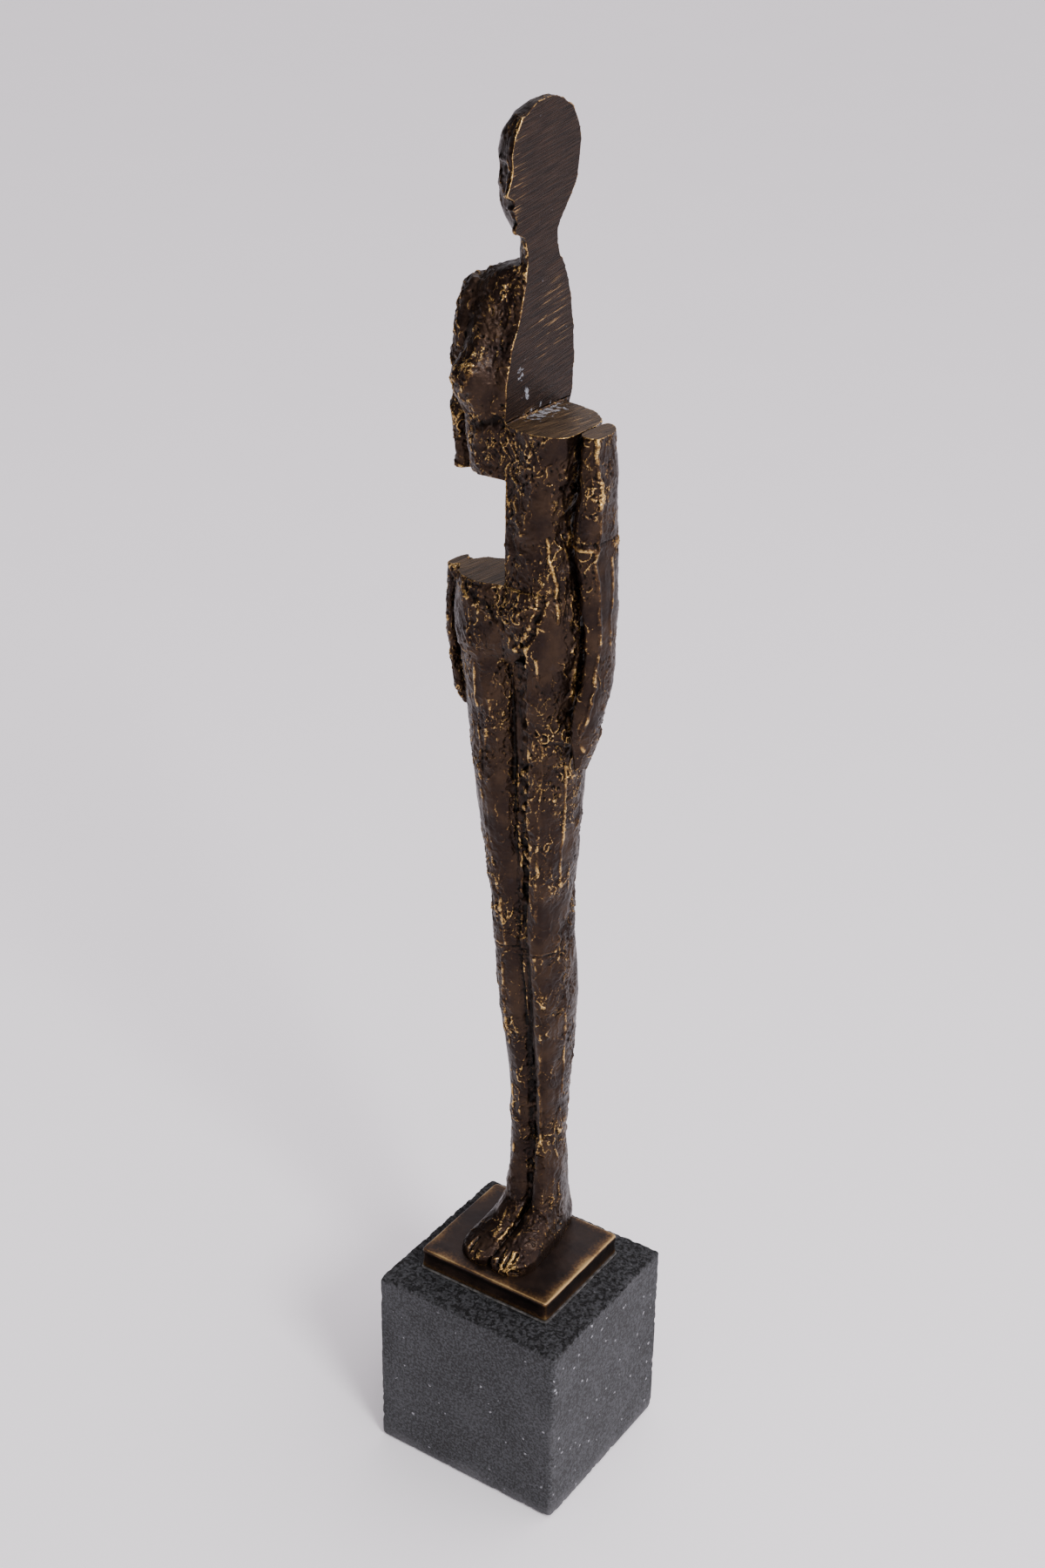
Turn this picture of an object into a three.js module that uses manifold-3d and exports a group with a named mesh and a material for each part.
// Cast bronze figure, sawn into parts and pinned together again, fixed to a bronze plate
// on a drilled block of bluestone. Millimetres, +Z up, origin at the middle of the underside.
// The figure faces -Y and its left side is +X.
import * as THREE from 'three';
import { mergeVertices } from 'three/addons/utils/BufferGeometryUtils.js';
import Module from 'manifold-3d';

const wasm = await Module();
wasm.setup();

// ---------------------------------------------------------------- driving dimensions
// Stone plinth
const BLOCK_WIDTH = 100;
const BLOCK_DEPTH = 94;
const BLOCK_HEIGHT = 97.5;
const BLOCK_CHAMFER = 0.8;
const BLOCK_CORNER = 1.6;
const FELT_THICKNESS = 0.8;
const FELT_INSET = 3;

// Bronze foot plate and its bed
const PLATE_WIDTH = 71.5;
const PLATE_DEPTH = 62.8;
const PLATE_THICKNESS = 10.3;
const PLATE_CORNER = 1.8;
const PLATE_LIP = 0.9;
const PLATE_COVE = 0.35;
const PLATE_ARRIS = 0.5;
const BED_THICKNESS = 0.5;
const BED_BEAD = 0.7;
const PLATE_X = -2.5;
const PLATE_Y = 2.4;

// Figure: the sections below are drawn for DRAWN_STATURE and stand at STATURE
const DRAWN_STATURE = 531.5;
const STATURE = 531.5;
const FOOT_SHIFT = -2.2;
const LEG_GROOVE_X = 3;

// Sawn faces and seams, as heights above the plate in the drawing
const ANKLE_SEAM = 22;
const KNEE_SEAM = 168;
const HIP_SEAM = 312;
const HIP_LEDGE = 345;
const ELBOW_SEAM = 368;
const CHEST_CUT = 388.5;
const ARM_STUB_CUT = 385;
const BREAST_LEDGE = 411.7;
const NECK_SEAM = 470;

// Fits
const SEAT_GAP = 0.1;
const SAW_GAP = 0.3;
const PIN_CLEARANCE = 0.15;
const PIN_END_GAP = 0.5;

// Fasteners
const SLIM_PIN = 4;
const STOUT_PIN = 6;
const SLIM_PIN_DEPTH = 7;
const STOUT_PIN_DEPTH = 11;
const STUD_DIAMETER = 8;
const STUD_IN_PLATE = 7;
const STUD_PAST_NUT = 3;
const STONE_BORE = 11;
const COUNTERBORE = 30;
const COUNTERBORE_DEPTH = 18;
const WASHER_DIAMETER = 24;
const WASHER_THICKNESS = 2;
const NUT_FLATS = 13;
const NUT_HEIGHT = 6.5;
const FOOT_BOLT_DIAMETER = 5;
const FOOT_BOLT_INTO_LEG = 16;
const FOOT_BOLT_HEAD = 9;
const FOOT_BOLT_HEAD_HEIGHT = 3;
const FOOT_BOLT_SPREAD = 7.8;
const FOOT_BOLT_Y = 14;

// Smoothness
const AROUND = 24;
const ROUND_SIDES = 28;
const STEP_UP = 9;

// ---------------------------------------------------------------- materials
const bronze = () => new THREE.MeshStandardMaterial({ color: 0x3d2c20, roughness: 0.45, metalness: 0.9 });
const steel = () => new THREE.MeshStandardMaterial({ color: 0x8d9196, roughness: 0.35, metalness: 1 });
const stone = () => new THREE.MeshStandardMaterial({ color: 0x4a4b4c, roughness: 0.85, metalness: 0 });
const adhesive = () => new THREE.MeshStandardMaterial({ color: 0x8b8780, roughness: 0.7, metalness: 0 });
const felt = () => new THREE.MeshStandardMaterial({ color: 0x1d1d1f, roughness: 1, metalness: 0 });

// ---------------------------------------------------------------- solids and booleans
// A closed skin over rings that all have the same number of points, with a fan on each end.
function skin(rings) {
  const count = rings[0].length;
  const points = rings.flat();
  const ends = [rings[0], rings[rings.length - 1]];
  for (const ring of ends) {
    const middle = new THREE.Vector3();
    ring.forEach((point) => middle.addScaledVector(point, 1 / count));
    points.push(middle);
  }
  const index = [];
  for (let row = 0; row + 1 < rings.length; row += 1) {
    for (let i = 0; i < count; i += 1) {
      const next = (i + 1) % count;
      const [a, b] = [row * count + i, row * count + next];
      index.push(a, b, b + count, a, b + count, a + count);
    }
  }
  const [low, high] = [points.length - 2, points.length - 1];
  const top = (rings.length - 1) * count;
  for (let i = 0; i < count; i += 1) {
    const next = (i + 1) % count;
    index.push(low, next, i, high, top + i, top + next);
  }
  const geometry = new THREE.BufferGeometry().setFromPoints(points);
  geometry.setIndex(index);
  return geometry;
}

function solid(geometry) {
  const bare = geometry.clone();
  bare.deleteAttribute('normal');
  bare.deleteAttribute('uv');
  const merged = mergeVertices(bare, 1e-4);
  const mesh = new wasm.Mesh({
    numProp: 3,
    vertProperties: new Float32Array(merged.attributes.position.array),
    triVerts: new Uint32Array(merged.index.array),
  });
  return new wasm.Manifold(mesh);
}

function named(name, manifold, material) {
  const { vertProperties, triVerts } = manifold.getMesh();
  const geometry = new THREE.BufferGeometry();
  geometry.setAttribute('position', new THREE.BufferAttribute(vertProperties, 3));
  geometry.setIndex(new THREE.BufferAttribute(triVerts, 1));
  geometry.computeVertexNormals();
  const mesh = new THREE.Mesh(geometry, material);
  mesh.name = name;
  return mesh;
}

// A cylinder from one point to another.
function rod(from, to, diameter, sides = ROUND_SIDES) {
  const along = to.clone().sub(from);
  const geometry = new THREE.CylinderGeometry(diameter / 2, diameter / 2, along.length(), sides);
  const turn = new THREE.Quaternion();
  turn.setFromUnitVectors(new THREE.Vector3(0, 1, 0), along.clone().normalize());
  geometry.applyQuaternion(turn);
  geometry.translate(...from.clone().add(to).multiplyScalar(0.5).toArray());
  return solid(geometry);
}

function upright(x, y, low, high, diameter, sides = ROUND_SIDES) {
  return rod(new THREE.Vector3(x, y, low), new THREE.Vector3(x, y, high), diameter, sides);
}

// The box between two corners, used to saw castings.
function slab(low, high) {
  const size = high.map((value, axis) => value - low[axis]);
  const geometry = new THREE.BoxGeometry(...size);
  geometry.translate(...low.map((value, axis) => value + size[axis] / 2));
  return solid(geometry);
}

const FAR = 200;
const between = (low, high) => slab([-FAR, -FAR, low], [FAR, FAR, high]);
const rightHalf = (edge) => slab([-FAR, -FAR, -FAR], [edge, FAR, 2 * STATURE]);
const leftHalf = (edge) => slab([edge, -FAR, -FAR], [FAR, FAR, 2 * STATURE]);

// ---------------------------------------------------------------- plates and blocks
// A ring of a rectangle with rounded corners.
function cornered(width, depth, radius, z) {
  const steps = 3;
  const ring = [];
  const corners = [[1, 1, 0], [-1, 1, 1], [-1, -1, 2], [1, -1, 3]];
  for (const [sx, sy, quarter] of corners) {
    for (let step = 0; step <= steps; step += 1) {
      const angle = (quarter + step / steps) * Math.PI / 2;
      const x = sx * (width / 2 - radius) + radius * Math.cos(angle);
      const y = sy * (depth / 2 - radius) + radius * Math.sin(angle);
      ring.push(new THREE.Vector3(x, y, z));
    }
  }
  return ring;
}

// A rectangular block whose sides follow a list of [height, inset] steps.
function profiled(width, depth, radius, steps) {
  return solid(skin(steps.map(([z, inset]) => cornered(width - 2 * inset, depth - 2 * inset, radius, z))));
}

const feltTop = FELT_THICKNESS;
const blockLow = feltTop + SEAT_GAP;
const blockHigh = blockLow + BLOCK_HEIGHT;
const bedLow = blockHigh + SEAT_GAP;
const bedHigh = bedLow + BED_THICKNESS;
const plateLow = bedHigh + SEAT_GAP;
const plateHigh = plateLow + PLATE_THICKNESS;

function stoneBlock() {
  const c = BLOCK_CHAMFER;
  const steps = [[blockLow, c], [blockLow + c, 0], [blockHigh - c, 0], [blockHigh, c]];
  const block = profiled(BLOCK_WIDTH, BLOCK_DEPTH, BLOCK_CORNER, steps);
  const bore = upright(PLATE_X, PLATE_Y, blockLow - 1, blockHigh + 1, STONE_BORE);
  const counterbore = upright(PLATE_X, PLATE_Y, blockLow - 1, blockLow + COUNTERBORE_DEPTH, COUNTERBORE);
  return block.subtract(bore).subtract(counterbore);
}

function footPlate() {
  const coveTall = PLATE_THICKNESS - PLATE_LIP - PLATE_ARRIS;
  const cove = [0.15, 0.32, 0.5, 0.68, 0.85].map((share) => [
    plateLow + PLATE_LIP + coveTall * share,
    PLATE_COVE * Math.sin(Math.PI * share),
  ]);
  const steps = [
    [plateLow, PLATE_ARRIS],
    [plateLow + PLATE_ARRIS, 0],
    [plateLow + PLATE_LIP, 0],
    ...cove,
    [plateHigh - PLATE_ARRIS, 0],
    [plateHigh, PLATE_ARRIS],
  ];
  const tapped = upright(0, 0, plateLow - 1, studHigh + PIN_END_GAP, studHole);
  let plate = profiled(PLATE_WIDTH, PLATE_DEPTH, PLATE_CORNER, steps).subtract(tapped);
  for (const side of [-1, 1]) {
    plate = plate.subtract(footBolt(side, PIN_CLEARANCE).translate(0, 0, plateHigh));
  }
  return plate.translate(PLATE_X, PLATE_Y, 0);
}

function beddingLayer() {
  const size = [PLATE_WIDTH + 2 * BED_BEAD, PLATE_DEPTH + 2 * BED_BEAD, PLATE_CORNER + BED_BEAD];
  const sheet = profiled(...size, [[bedLow, 0], [bedHigh, BED_BEAD / 3]]);
  const hole = upright(0, 0, bedLow - 1, bedHigh + 1, STONE_BORE);
  return sheet.subtract(hole).translate(PLATE_X, PLATE_Y, 0);
}

function baseFelt() {
  const size = [BLOCK_WIDTH - 2 * FELT_INSET, BLOCK_DEPTH - 2 * FELT_INSET, BLOCK_CORNER];
  return profiled(...size, [[0, 0], [feltTop, 0]]);
}

// ---------------------------------------------------------------- stud, washer and nut
const washerHigh = blockLow + COUNTERBORE_DEPTH - SEAT_GAP;
const nutHigh = washerHigh - WASHER_THICKNESS - SEAT_GAP;
const nutLow = nutHigh - NUT_HEIGHT;
const studHigh = plateLow + STUD_IN_PLATE;

const anchorStud = () => upright(PLATE_X, PLATE_Y, nutLow - STUD_PAST_NUT, studHigh, STUD_DIAMETER);

const studHole = STUD_DIAMETER + 2 * PIN_CLEARANCE;
const clearOfStud = (low, high) => upright(PLATE_X, PLATE_Y, low - 1, high + 1, studHole);

function anchorWasher() {
  const low = washerHigh - WASHER_THICKNESS;
  return upright(PLATE_X, PLATE_Y, low, washerHigh, WASHER_DIAMETER).subtract(clearOfStud(low, washerHigh));
}

function anchorNut() {
  const acrossCorners = NUT_FLATS / Math.cos(Math.PI / 6);
  const hexagon = upright(PLATE_X, PLATE_Y, nutLow, nutHigh, acrossCorners, 6);
  return hexagon.subtract(clearOfStud(nutLow, nutHigh));
}

// A bolt from under the plate, through the foot, into the leg. Heights are above the plate,
// and slack makes the same shape larger all round, as the hole that it passes through.
function footBolt(side, slack) {
  const [x, y] = [side * FOOT_BOLT_SPREAD, FOOT_BOLT_Y];
  const low = plateLow - plateHigh + SEAT_GAP - (slack ? 1 : 0);
  const headHigh = plateLow - plateHigh + SEAT_GAP + FOOT_BOLT_HEAD_HEIGHT + slack;
  const high = rise(ANKLE_SEAM) + FOOT_BOLT_INTO_LEG + (slack ? PIN_END_GAP : 0);
  const shank = upright(x, y, low, high, FOOT_BOLT_DIAMETER + 2 * slack);
  return shank.add(upright(x, y, low, headHigh, FOOT_BOLT_HEAD + 2 * slack));
}

// ---------------------------------------------------------------- castings of the figure
// Heights in the sections are above the plate, in the drawing; rise() takes them to the real one.
function rise(drawn) {
  return drawn * STATURE / DRAWN_STATURE;
}

// A casting through level sections. Each section is [height, [[x, y], ...]], all with the same
// number of points, and smooth curves run round each section and up through all of them.
function casting(sections) {
  const outlines = sections.map(([drawn, outline]) => {
    const points = outline.map(([x, y]) => new THREE.Vector3(x, y, rise(drawn)));
    const curve = new THREE.CatmullRomCurve3(points, true, 'centripetal');
    return Array.from({ length: AROUND }, (_, i) => curve.getPoint(i / AROUND));
  });
  const heights = [];
  for (let i = 0; i + 1 < outlines.length; i += 1) {
    const tall = outlines[i + 1][0].z - outlines[i][0].z;
    const steps = Math.max(1, Math.round(tall / STEP_UP));
    for (let step = 0; step < steps; step += 1) heights.push((i + step / steps) / (outlines.length - 1));
  }
  heights.push(1);
  const ribs = Array.from({ length: AROUND }, (_, i) => {
    return new THREE.CatmullRomCurve3(outlines.map((ring) => ring[i]), false, 'centripetal');
  });
  const rings = heights.map((t) => {
    const ring = ribs.map((rib) => rib.getPoint(t));
    const level = ring.reduce((sum, point) => sum + point.z, 0) / ring.length;
    ring.forEach((point) => point.setZ(level));
    return ring;
  });
  return solid(skin(counterClockwise(rings)));
}

// Every ring is turned the same way round, seen from above.
function counterClockwise(rings) {
  const area = rings[0].reduce((sum, a, i, ring) => {
    const b = ring[(i + 1) % ring.length];
    return sum + a.x * b.y - b.x * a.y;
  }, 0);
  return area > 0 ? rings : rings.map((ring) => [...ring].reverse());
}

const mirrored = (sections) => sections.map(([z, outline]) => [z, outline.map(([x, y]) => [-x, y])]);
const shifted = (sections, shift) => sections.map(([z, outline]) => {
  return [z, outline.map(([x, y]) => [x + shift(z), y])];
});

// Half outlines from front to back, made whole by their mirror image.
const whole = (sections) => sections.map(([z, half]) => {
  const inner = half.slice(1, -1).reverse();
  return [z, [...half, ...inner.map(([x, y]) => [-x, y])]];
});

const CHEST = [
  [387, [[-5, -20], [5, -21], [12, -20.5], [18, -17.5], [22, -7], [21, 6],
    [15, 15], [5, 19.5], [-5, 20.5]]],
  [399, [[-5, -20], [5, -22], [13, -22.5], [19.5, -19], [24, -7], [23, 8],
    [16, 18], [5, 22.5], [-5, 23.5]]],
  [412, [[-5, -19.5], [5, -22.5], [13, -24.5], [21, -20.5], [26, -8],
    [25.5, 8], [18, 19], [5, 25], [-5, 25.5]]],
  [426, [[-5, -18.5], [5, -22], [14, -25.5], [22, -20.5], [26.2, -8],
    [26, 8], [19, 19], [6, 26], [-5, 26.5]]],
  [440, [[-5, -15], [5, -18.5], [14, -22], [22, -17.5], [26.2, -7],
    [26, 8], [19, 18], [6, 25], [-5, 25]]],
  [452, [[-5, -10], [5, -12.5], [14, -15.5], [22, -12.5], [26.2, -5],
    [25.5, 8], [18, 17], [6, 23], [-5, 23]]],
  [461, [[-5, -8], [5, -9.5], [13, -10.5], [21, -9], [26, -3.5], [25, 6], [17, 14], [6, 20], [-5, 21]]],
  [466, [[-5, -7], [5, -8], [11, -8], [17, -6], [22, -1.5], [21, 5], [13, 12], [6, 17], [-5, 19]]],
  [470.5, [[-5, -6.5], [3.5, -7.5], [6.5, -6.5], [9, -3], [9.5, 3], [9, 8],
    [7, 12], [4, 15], [-5, 16]]],
];

const UPPER_ARM = [
  [385, [[26.9, -6], [29, -9], [32.5, -9], [34.6, -5], [34.4, 1], [32, 5], [28.5, 5.5], [26.8, 0]]],
  [412, [[26.9, -8], [29.5, -11], [33, -10.5], [35, -6], [35, 1], [32.5, 6], [28.5, 7], [26.7, 0]]],
  [440, [[26.9, -9], [29, -11.5], [33, -10.5], [35, -5], [35, 2.5],
    [32.5, 7.5], [28.5, 8.5], [26.7, 0]]],
  [452, [[27, -8], [29, -10], [32.5, -9], [34.6, -4], [34.2, 3], [31.5, 7.5], [28.5, 8], [26.8, 0]]],
  [459, [[27, -5.5], [28.5, -7], [31, -6], [32.6, -2.5], [32.2, 2], [30.3, 5], [28.3, 5], [27, 0]]],
  [463, [[27, -3.5], [27.8, -4], [29, -3], [29.6, -1], [29.3, 1], [28.6, 2.3], [27.6, 2.3], [27, 0]]],
];

const WAIST = [
  [344, [[-5, -19], [5, -22.5], [12, -24], [20, -22.5], [26.5, -17],
    [28.6, -8], [27, -1], [21, 3], [-5, 6]]],
  [352, [[-5, -19], [5, -22], [11, -23.5], [19, -22], [25, -17],
    [27.4, -8], [26.5, -1], [21, 4], [-5, 7.5]]],
  [365, [[-5, -20], [5, -22], [11, -23], [18, -21.5], [23, -16.5],
    [25, -7], [23.5, 0], [18, 5.5], [-5, 9]]],
  [387, [[-5, -20], [5, -22], [12, -23.5], [19, -22.5], [24.5, -18],
    [26.3, -7], [25, 2], [19.5, 9], [-5, 14]]],
  [413, [[-5, -19], [5, -23], [12, -25.7], [21, -25.2], [27.9, -21.5],
    [28.9, -8], [28.4, 3], [21, 13.5], [-5, 19.5]]],
];

const LEFT_UPPER_ARM = [
  [367, [[28, -14], [33, -17], [38.3, -14], [39.8, -7], [39, 0.5], [35.5, 5.5], [30, 5.5], [27.6, -3]]],
  [390, [[29, -14], [34, -17], [38.6, -14.7], [39.7, -8], [38.8, 0], [35.3, 5], [30, 5.5], [28.6, -3]]],
  [413, [[29.8, -13.8], [34.8, -16], [38.8, -14], [39.4, -8.4], [38.2, -1],
    [34.8, 3.3], [30.6, 5], [29.4, -3]]],
];

const FOREARM = [
  [266, [[28.7, -9.5], [30, -11], [31.8, -10], [32.4, -7.5], [31.8, -5],
    [30.4, -4], [29.2, -4.6], [28.5, -7]]],
  [275, [[28.6, -12], [31, -14], [34.5, -12.5], [36, -7.5], [35, -3],
    [32.5, -0.5], [29.8, -1.5], [28.5, -6]]],
  [288, [[28.8, -14], [32, -16.5], [36.3, -14], [38, -8], [37.3, -2],
    [34, 1.5], [30.8, 2], [28.9, -6]]],
  [303, [[30.8, -12.5], [34, -14.5], [38, -12], [39.6, -5.5], [39, 1.5],
    [36.2, 5.5], [32.7, 6], [30.8, -2]]],
  [317, [[31.3, -10.5], [34.5, -12.5], [38.3, -10.5], [40, -4.5],
    [39.5, 2.5], [36.5, 6.5], [33, 7], [31.3, -1]]],
  [337, [[30.2, -11], [34, -13.5], [38.3, -11.4], [40.2, -4.5],
    [39.6, 2.5], [36.3, 6.5], [32, 7], [30, -2]]],
  [350, [[29, -12], [33.5, -15], [38.2, -12.6], [40, -5.5], [39.3, 2], [36, 6.5], [31.5, 7], [29, -2]]],
  [369, [[28, -14], [33, -17], [38.3, -14], [39.8, -7], [39, 0.5], [35.5, 5.5], [30, 5.5], [27.6, -3]]],
];

const RIGHT_HAND = [
  [281, [[25.7, -8], [27, -9], [28.4, -8], [28.8, -5], [28.2, -3], [27, -2], [26, -3], [25.6, -5.5]]],
  [290, [[27.2, -10], [29.4, -12], [32, -11], [33, -7], [32.2, -3],
    [30.2, -0.5], [28.4, -1], [27.2, -5]]],
  [303, [[29.7, -11], [31.5, -13], [34, -12], [35, -7], [34.4, -2], [32.4, 1], [30.8, 1], [29.8, -4]]],
  [320, [[30.7, -11], [32.5, -13.5], [34.8, -12], [35.8, -7], [35.2, -2],
    [33.4, 1], [31.8, 1], [30.8, -4]]],
  [346, [[29.5, -12], [31.5, -14], [33.4, -12.5], [34, -8], [33.4, -3.5],
    [32, -1], [30.6, -1.5], [29.5, -6]]],
];

const PELVIS = whole([
  [311, [[0, -19], [6, -22.5], [15, -24], [25, -18], [30, -6], [28, 8], [17, 16], [0, 16]]],
  [320, [[0, -23], [8, -25.5], [17, -25], [25.5, -19], [30, -7], [27.5, 7], [17, 14], [0, 15]]],
  [332, [[0, -24], [8, -26], [17, -25], [25, -20], [29.2, -8], [26.5, 4], [16, 9.5], [0, 11]]],
  [346, [[0, -21], [8, -24.3], [17, -23.5], [24.5, -18.5], [28.6, -8], [24.5, -0.5], [15, 4], [0, 6]]],
]);

const THIGH = [
  [167, [[1.8, -5], [7, -9], [13, -7], [18, 5], [15.5, 16.5], [9, 21], [2.3, 18], [0.4, 6.5]]],
  [190, [[1.8, -7], [7, -11], [13, -9], [17.8, 3], [15.4, 14.5], [9, 19], [2.3, 16], [0.4, 5]]],
  [215, [[2, -9], [8, -13.5], [15.5, -11], [21.3, 1.5], [18, 13], [10, 17.5], [2.5, 15], [0.4, 3]]],
  [241, [[2, -12], [8.5, -17.5], [17, -14.5], [24, -1.5], [20.5, 11], [11, 16.5], [2.5, 13], [0.4, 0]]],
  [265, [[2.5, -14], [9.5, -19], [18.5, -16], [25.8, -3], [22, 11], [12, 17], [3, 14], [0.4, -1]]],
  [290, [[3, -16], [10.5, -21.5], [20, -18], [28, -4], [24, 11], [13, 18], [3, 15], [0.4, -1]]],
  [313, [[3, -17], [12, -24], [22, -20], [29.8, -6], [26, 10], [14, 17], [3, 14], [0.4, -1]]],
];

const LOWER_LEG = [
  [21, [[1.6, 2], [5.5, 0], [10, 1.5], [13.6, 9], [13.2, 19], [9, 26.5], [3, 26], [0.5, 12]]],
  [50, [[1.6, 5], [5.5, 3], [9.5, 4.5], [12.7, 12], [11.8, 20], [7.5, 25], [2, 23.5], [0.5, 14]]],
  [75, [[1.6, 5], [5.5, 3], [9.7, 4.5], [13.2, 12], [12, 20], [7, 24.5], [2, 23], [0.5, 14]]],
  [104, [[1.8, 3], [6.2, 0], [11, 2], [15.2, 12], [13.4, 21], [8, 26], [2.2, 24], [0.5, 13]]],
  [130, [[1.8, 0], [6.8, -4], [12.2, -2], [17.1, 10], [15, 20.5], [9, 25.5], [2.3, 23], [0.4, 11]]],
  [150, [[1.8, -2.5], [7, -6.5], [13, -4.5], [17.8, 7.5], [15.5, 19], [9, 24], [2.3, 21], [0.4, 9]]],
  [169, [[1.8, -5], [7, -9], [13, -7], [18, 5], [15.5, 16.5], [9, 21], [2.3, 18], [0.4, 6.5]]],
];

const FOOT = [
  [SEAT_GAP, [[1, -24], [6, -26], [13, -24.5], [19, -18], [18.5, 0],
    [16.5, 18], [11, 32], [5, 33], [1, 28], [0.5, 2]]],
  [5, [[1, -23], [6, -25], [13, -23.5], [18.3, -17], [18, 0], [16, 18],
    [11, 31], [5, 32], [1, 27], [0.5, 2]]],
  [9, [[1.3, -14], [6, -17], [12, -15], [16.4, -8], [16.2, 4], [14.8, 18],
    [11, 30], [5, 31], [1.5, 26], [0.5, 5]]],
  [15, [[1.6, -3], [6, -6], [11, -4], [14.4, 3], [14.8, 10], [13.6, 20],
    [9.5, 29], [5, 30], [1.6, 25], [0.5, 10]]],
  [23, [[1.6, 2], [5.5, 0], [9.5, 1], [13, 6], [13.8, 12], [13, 20],
    [10, 26], [6, 28], [2, 26], [0.5, 12]]],
];

// Head levels: [height, middle of the face, cheek, half width, back of the head]. The face is a
// plain one: chin, mouth, nose and brow stand at even thirds, and the eyes at half height.
const HEAD = [
  [469, -7, -6, 9.5, 15.5],
  [476, -7.5, -5.5, 8.8, 13.4],
  [481, -9, -4, 9.5, 13.2],
  [484, -15.5, -10, 11.2, 14.8],
  [489, -15.2, -12.5, 13.4, 18.5],
  [493, -17.6, -14, 14.6, 22],
  [496, -17, -14.8, 15.2, 24.3],
  [499, -21.5, -15, 15.6, 26],
  [507, -18, -14.5, 16.3, 27.5],
  [513, -19, -15.5, 16.5, 28],
  [520, -17, -13.5, 15.3, 25.8],
  [526, -11.5, -9, 12, 21.5],
  [530, -3, -2, 7, 15],
  [531.5, 3, 3.4, 2.5, 9],
];

const headSections = HEAD.map(([z, middle, cheek, half, back]) => {
  const deep = back - cheek;
  return [z, [
    [5, middle], [-1.4, middle], [-half * 0.32, (middle + 2 * cheek) / 3], [-half * 0.62, cheek + deep * 0.05],
    [-half * 0.92, cheek + deep * 0.25], [-half, cheek + deep * 0.5], [-half * 0.86, cheek + deep * 0.78],
    [-half * 0.45, back - deep * 0.05], [5, back],
  ]];
});

// ---------------------------------------------------------------- pins across the sawn faces
const across = (x, y, z, depth, size) => ({
  from: new THREE.Vector3(x - depth, y, rise(z)), to: new THREE.Vector3(x + depth, y, rise(z)), size,
});
const standing = (x, y, z, depth, size) => ({
  from: new THREE.Vector3(x, y, rise(z) - depth), to: new THREE.Vector3(x, y, rise(z) + depth), size,
});

const PINS = {
  neck_pin: standing(-4.6, 4, NECK_SEAM, SLIM_PIN_DEPTH, SLIM_PIN),
  right_shoulder_pin: across(-26.5, -1, 440, SLIM_PIN_DEPTH - 1, SLIM_PIN),
  middle_pin_upper: across(SAW_GAP / 2, 7, 403, STOUT_PIN_DEPTH, STOUT_PIN),
  middle_pin_lower: across(SAW_GAP / 2, -9, 398, STOUT_PIN_DEPTH, STOUT_PIN),
  left_shoulder_pin: across(29, -5, 398, SLIM_PIN_DEPTH - 1, SLIM_PIN),
  left_elbow_pin: standing(34, -5, ELBOW_SEAM, SLIM_PIN_DEPTH, SLIM_PIN),
  waist_pin: standing(13, -8, HIP_LEDGE, STOUT_PIN_DEPTH, STOUT_PIN),
  right_hand_pin: across(-29.8, -6, 322, SLIM_PIN_DEPTH - 1, SLIM_PIN),
  right_hip_pin: standing(-14, -2, HIP_SEAM, STOUT_PIN_DEPTH, STOUT_PIN),
  left_hip_pin: standing(14, -2, HIP_SEAM, STOUT_PIN_DEPTH, STOUT_PIN),
  right_knee_pin: standing(-9, 6, KNEE_SEAM, STOUT_PIN_DEPTH, STOUT_PIN),
  left_knee_pin: standing(9, 6, KNEE_SEAM, STOUT_PIN_DEPTH, STOUT_PIN),
};

const pin = ({ from, to, size }) => rod(from, to, size, 16);

function pinHole({ from, to, size }) {
  const reach = to.clone().sub(from).normalize().multiplyScalar(PIN_END_GAP);
  return rod(from.clone().sub(reach), to.clone().add(reach), size + 2 * PIN_CLEARANCE, 16);
}

const drill = (body, ...names) => names.reduce((rest, name) => rest.subtract(pinHole(PINS[name])), body);

// ---------------------------------------------------------------- the figure, piece by piece
const seam = (low, high) => between(rise(low) + SAW_GAP / 2, rise(high) - SAW_GAP / 2);
const footLean = (z) => FOOT_SHIFT * (1 - z / ANKLE_SEAM);
const grooveAtFoot = (z) => LEG_GROOVE_X * z / ANKLE_SEAM;

// Leg sections drawn about a groove at x = 0, with their inner sides carried over to the real
// groove and their outer sides left where they are.
const aboutGroove = (sections, groove) => sections.map(([z, outline]) => {
  const half = Math.max(...outline.map(([x]) => Math.abs(x)));
  return [z, outline.map(([x, y]) => [x + groove(z) * (1 - Math.abs(x) / half), y])];
});

// The space on one side of the plane between the legs. Between the feet that plane leans.
function legSpace(side, low, high, lean = () => LEG_GROOVE_X) {
  const middle = rise(low + high) / 2;
  const geometry = new THREE.BoxGeometry(FAR, 2 * FAR, rise(high - low));
  geometry.translate(side * (FAR + SAW_GAP) / 2, 0, middle);
  const position = geometry.attributes.position;
  for (let i = 0; i < position.count; i += 1) {
    position.setX(i, position.getX(i) + lean(position.getZ(i) > middle ? high : low));
  }
  return solid(geometry);
}

// An arm or hand that lies against the body is cut back to clear it, with a gap on that side.
function beside(limb, side, ...neighbours) {
  return neighbours.reduce((rest, body) => {
    return rest.subtract(body.translate(side * SAW_GAP, 0, 0)).subtract(body);
  }, limb);
}

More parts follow.
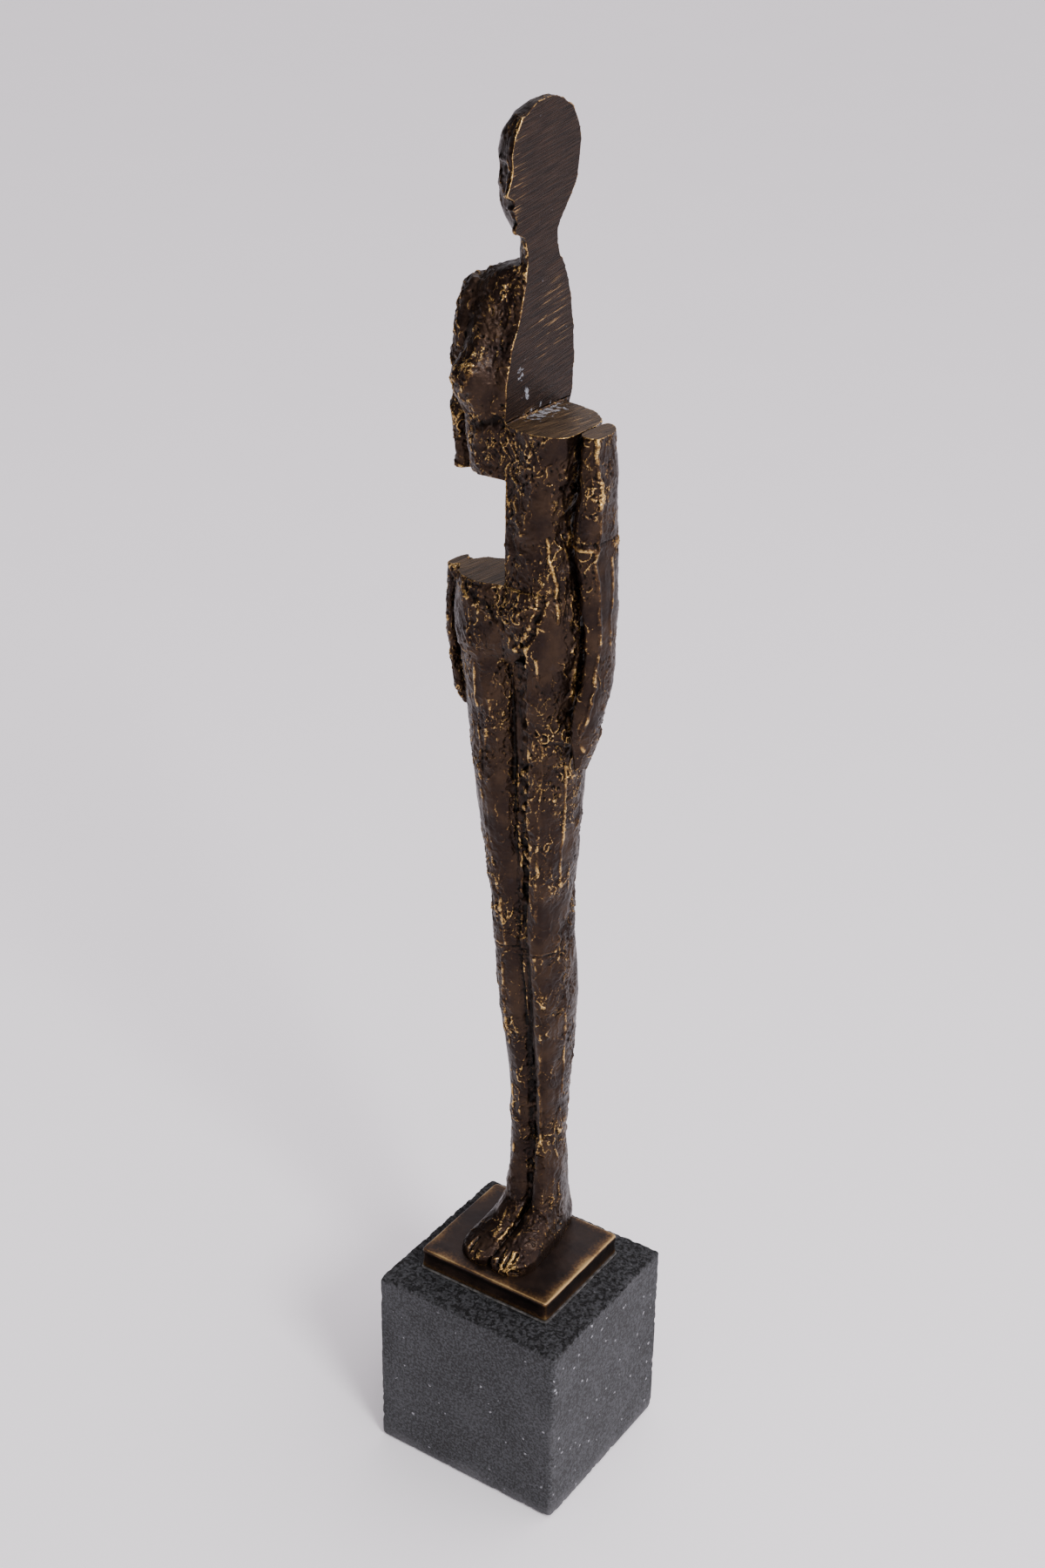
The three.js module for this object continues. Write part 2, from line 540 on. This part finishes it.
function legPieces(name, side, turned) {
  const groove = () => LEG_GROOVE_X;
  const thigh = casting(aboutGroove(turned(THIGH), groove)).intersect(seam(KNEE_SEAM, HIP_SEAM))
    .intersect(legSpace(side, 0, HIP_SEAM));
  const leg = casting(aboutGroove(turned(LOWER_LEG), groove)).intersect(seam(ANKLE_SEAM, KNEE_SEAM))
    .intersect(legSpace(side, 0, KNEE_SEAM));
  const foot = casting(shifted(aboutGroove(turned(FOOT), grooveAtFoot), footLean))
    .intersect(between(0, rise(ANKLE_SEAM) - SAW_GAP / 2))
    .intersect(legSpace(side, 0, ANKLE_SEAM, (z) => footLean(z) + grooveAtFoot(z)));
  const boltHole = footBolt(side, PIN_CLEARANCE);
  return {
    [`${name}_thigh`]: drill(thigh, `${name}_hip_pin`, `${name}_knee_pin`),
    [`${name}_lower_leg`]: drill(leg, `${name}_knee_pin`).subtract(boltHole),
    [`${name}_foot`]: foot.subtract(boltHole),
  };
}

function figurePieces() {
  const right = legPieces('right', -1, mirrored);
  const left = legPieces('left', 1, (sections) => sections);
  const head = casting(headSections).intersect(between(rise(NECK_SEAM) + SAW_GAP / 2, 2 * STATURE));
  const chest = casting(mirrored(CHEST)).intersect(seam(CHEST_CUT, NECK_SEAM));
  const rightArm = casting(mirrored(UPPER_ARM)).intersect(between(rise(ARM_STUB_CUT), 2 * STATURE));
  const waist = casting(WAIST).intersect(seam(HIP_LEDGE, BREAST_LEDGE));
  const leftArm = casting(LEFT_UPPER_ARM).intersect(seam(ELBOW_SEAM, BREAST_LEDGE));
  const forearm = casting(FOREARM).intersect(between(0, rise(ELBOW_SEAM) - SAW_GAP / 2));
  const hand = casting(mirrored(RIGHT_HAND)).intersect(between(0, rise(HIP_LEDGE) - SAW_GAP / 2));
  const pelvis = casting(PELVIS).intersect(seam(HIP_SEAM, HIP_LEDGE));
  return {
    head_right: drill(head.intersect(rightHalf(0)), 'neck_pin'),
    chest_right: drill(chest.intersect(rightHalf(0)), 'neck_pin', 'right_shoulder_pin', 'middle_pin_upper',
      'middle_pin_lower'),
    right_upper_arm: drill(beside(rightArm, -1, chest), 'right_shoulder_pin'),
    waist_left: drill(waist.intersect(leftHalf(SAW_GAP)), 'middle_pin_upper', 'middle_pin_lower',
      'left_shoulder_pin', 'waist_pin'),
    left_upper_arm: drill(beside(leftArm, 1, waist), 'left_shoulder_pin', 'left_elbow_pin'),
    left_forearm: drill(beside(forearm, 1, waist, pelvis, left.left_thigh), 'left_elbow_pin'),
    pelvis: drill(pelvis, 'waist_pin', 'right_hip_pin', 'left_hip_pin', 'right_hand_pin'),
    right_hand: drill(beside(hand, -1, pelvis, right.right_thigh), 'right_hand_pin'),
    ...right,
    ...left,
  };
}

// ---------------------------------------------------------------- the whole fixture
const fixture = new THREE.Group();
fixture.add(named('base_felt', baseFelt(), felt()));
fixture.add(named('stone_block', stoneBlock(), stone()));
fixture.add(named('bedding_layer', beddingLayer(), adhesive()));
fixture.add(named('foot_plate', footPlate(), bronze()));
fixture.add(named('anchor_stud', anchorStud(), steel()));
fixture.add(named('anchor_washer', anchorWasher(), steel()));
fixture.add(named('anchor_nut', anchorNut(), steel()));

const figure = new THREE.Group();
figure.position.set(PLATE_X, PLATE_Y, plateHigh);
for (const [name, body] of Object.entries(figurePieces())) figure.add(named(name, body, bronze()));
for (const [name, spec] of Object.entries(PINS)) figure.add(named(name, pin(spec), steel()));
figure.add(named('right_foot_bolt', footBolt(-1, 0), steel()));
figure.add(named('left_foot_bolt', footBolt(1, 0), steel()));
fixture.add(figure);

export default fixture;
